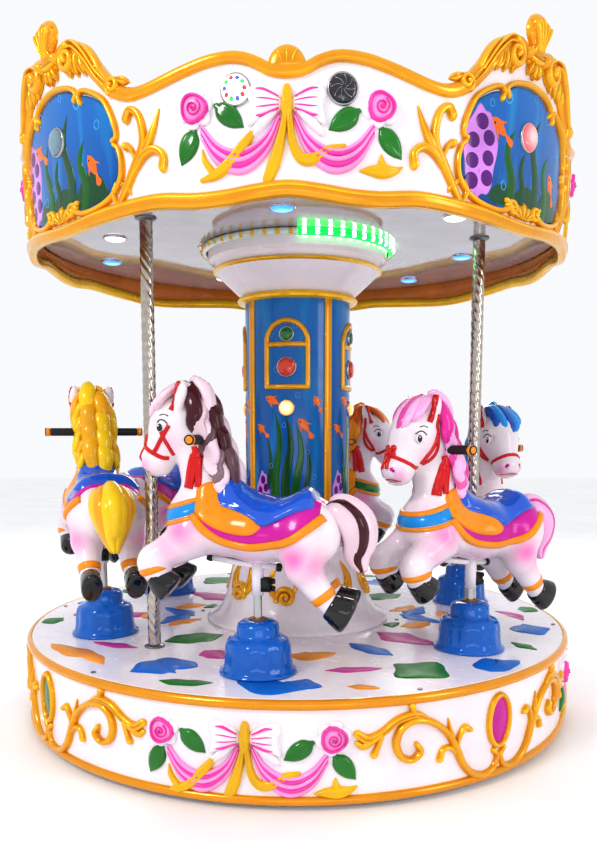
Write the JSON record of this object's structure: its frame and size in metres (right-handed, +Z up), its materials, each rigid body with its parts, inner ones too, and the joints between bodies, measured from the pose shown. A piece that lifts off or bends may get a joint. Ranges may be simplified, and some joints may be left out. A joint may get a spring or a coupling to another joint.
{
  "type": "children's carousel",
  "caption": "Small children's carousel: a round turntable carries galloping horses on lift rods round a painted column, under a crown-shaped canopy with lamps.",
  "frame": {"origin": "on the floor at the turning axis", "axes": "+Z up; the front bow of the crown faces -Y; +X to the right"},
  "size_m": [2, 2, 2.172],
  "materials": {
    "frame_paint": "satin",
    "foot_rubber": "matte",
    "bearing_steel": "satin",
    "track_steel": "satin",
    "motor_paint": "satin",
    "black_plastic": "matte",
    "box_paint": "satin",
    "white_gelcoat": "gloss",
    "gold_paint": "gloss",
    "screw_steel": "satin",
    "blue_gelcoat": "gloss",
    "bronze": "satin",
    "column_paint": "gloss",
    "lamp_cap": "gloss",
    "stainless": "polished",
    "ceiling_gelcoat": "gloss",
    "led_plastic": "gloss",
    "chrome_steel": "polished",
    "grip_black": "matte"
  },
  "bodies": {
    "base": {"ground_frame": "frame_paint", "levelling_feet": "foot_rubber", "slewing_inner_ring": "bearing_steel", "crank_track": "track_steel", "gearmotor": "motor_paint", "slip_ring": "black_plastic", "power_inlet": "black_plastic", "control_box": "box_paint"},
    "pinion": {"drive_pinion": "bearing_steel"},
    "carousel": {"slewing_outer_gear": "bearing_steel", "turntable_frame": "frame_paint", "drum_shell": "white_gelcoat", "drum_beads": "gold_paint", "deck_screws": "screw_steel", "pedestals": "blue_gelcoat", "guide_bushes": "bronze", "crank_bearings": "motor_paint", "column_mast": "screw_steel", "column_shell": "column_paint", "column_mouldings": "gold_paint", "column_lamps": "lamp_cap", "plinth": "white_gelcoat", "plinth_scrolls": "gold_paint", "handrail_poles": "stainless", "pole_flanges": "stainless", "canopy_frame": "frame_paint", "crown_shell": "white_gelcoat", "crown_crests": "gold_paint", "canopy_lamps": "lamp_cap", "ceiling": "ceiling_gelcoat", "roof_panel": "ceiling_gelcoat", "ceiling_cover": "white_gelcoat", "cover_rings": "gold_paint", "led_strip": "led_plastic"},
    "crank_1": {"crankshaft_1": "bearing_steel"},
    "rider_1": {"horse_1": "white_gelcoat", "lift_rod_1": "chrome_steel", "handlebar_1": "grip_black"},
    "crank_2": {"crankshaft_2": "bearing_steel"},
    "rider_2": {"horse_2": "white_gelcoat", "lift_rod_2": "chrome_steel", "handlebar_2": "grip_black"},
    "crank_3": {"crankshaft_3": "bearing_steel"},
    "rider_3": {"horse_3": "white_gelcoat", "lift_rod_3": "chrome_steel", "handlebar_3": "grip_black"},
    "crank_4": {"crankshaft_4": "bearing_steel"},
    "rider_4": {"horse_4": "white_gelcoat", "lift_rod_4": "chrome_steel", "handlebar_4": "grip_black"},
    "crank_5": {"crankshaft_5": "bearing_steel"},
    "rider_5": {"horse_5": "white_gelcoat", "lift_rod_5": "chrome_steel", "handlebar_5": "grip_black"},
    "crank_6": {"crankshaft_6": "bearing_steel"},
    "rider_6": {"horse_6": "white_gelcoat", "lift_rod_6": "chrome_steel", "handlebar_6": "grip_black"}
  },
  "joints": [
    {"name": "carousel_spin", "type": "hinge", "parent": "base", "child": "carousel", "pos_m": [0, 0, 0.12], "axis": [0, 0, 1], "continuous": true},
    {"name": "pinion_spin", "type": "hinge", "parent": "base", "child": "pinion", "pos_m": [-0.14985, -0.05692, 0.12], "axis": [0, 0, 1], "continuous": true},
    {"name": "crank_1_spin", "type": "hinge", "parent": "carousel", "child": "crank_1", "pos_m": [-0.07994, -0.49357, 0.19], "axis": [-0.1599, -0.9871, 0], "continuous": true},
    {"name": "horse_1_lift", "type": "slide", "parent": "carousel", "child": "rider_1", "axis": [0, 0, 1], "range_m": [-0.046, 0.02]},
    {"name": "crank_2_spin", "type": "hinge", "parent": "carousel", "child": "crank_2", "pos_m": [0.38747, -0.31601, 0.19], "axis": [0.7749, -0.632, 0], "continuous": true},
    {"name": "horse_2_lift", "type": "slide", "parent": "carousel", "child": "rider_2", "axis": [0, 0, 1], "range_m": [-0.0132, 0.0528]},
    {"name": "crank_3_spin", "type": "hinge", "parent": "carousel", "child": "crank_3", "pos_m": [0.46741, 0.17755, 0.19], "axis": [0.9348, 0.3551, 0], "continuous": true},
    {"name": "horse_3_lift", "type": "slide", "parent": "carousel", "child": "rider_3", "axis": [0, 0, 1], "range_m": [-0.0002, 0.0658]},
    {"name": "crank_4_spin", "type": "hinge", "parent": "carousel", "child": "crank_4", "pos_m": [0.07994, 0.49357, 0.19], "axis": [0.1599, 0.9871, 0], "continuous": true},
    {"name": "horse_4_lift", "type": "slide", "parent": "carousel", "child": "rider_4", "axis": [0, 0, 1], "range_m": [-0.02, 0.046]},
    {"name": "crank_5_spin", "type": "hinge", "parent": "carousel", "child": "crank_5", "pos_m": [-0.38747, 0.31601, 0.19], "axis": [-0.7749, 0.632, 0], "continuous": true},
    {"name": "horse_5_lift", "type": "slide", "parent": "carousel", "child": "rider_5", "axis": [0, 0, 1], "range_m": [-0.0528, 0.0132]},
    {"name": "crank_6_spin", "type": "hinge", "parent": "carousel", "child": "crank_6", "pos_m": [-0.46741, -0.17755, 0.19], "axis": [-0.9348, -0.3551, 0], "continuous": true},
    {"name": "horse_6_lift", "type": "slide", "parent": "carousel", "child": "rider_6", "axis": [0, 0, 1], "range_m": [-0.0658, 0.0002]}
  ],
  "couplings": [
    {"joint": "pinion_spin", "follows": "carousel_spin", "ratio": -3},
    {"joint": "crank_1_spin", "follows": "carousel_spin", "ratio": -4},
    {"joint": "crank_2_spin", "follows": "carousel_spin", "ratio": -4},
    {"joint": "crank_3_spin", "follows": "carousel_spin", "ratio": -4},
    {"joint": "crank_4_spin", "follows": "carousel_spin", "ratio": -4},
    {"joint": "crank_5_spin", "follows": "carousel_spin", "ratio": -4},
    {"joint": "crank_6_spin", "follows": "carousel_spin", "ratio": -4}
  ]
}
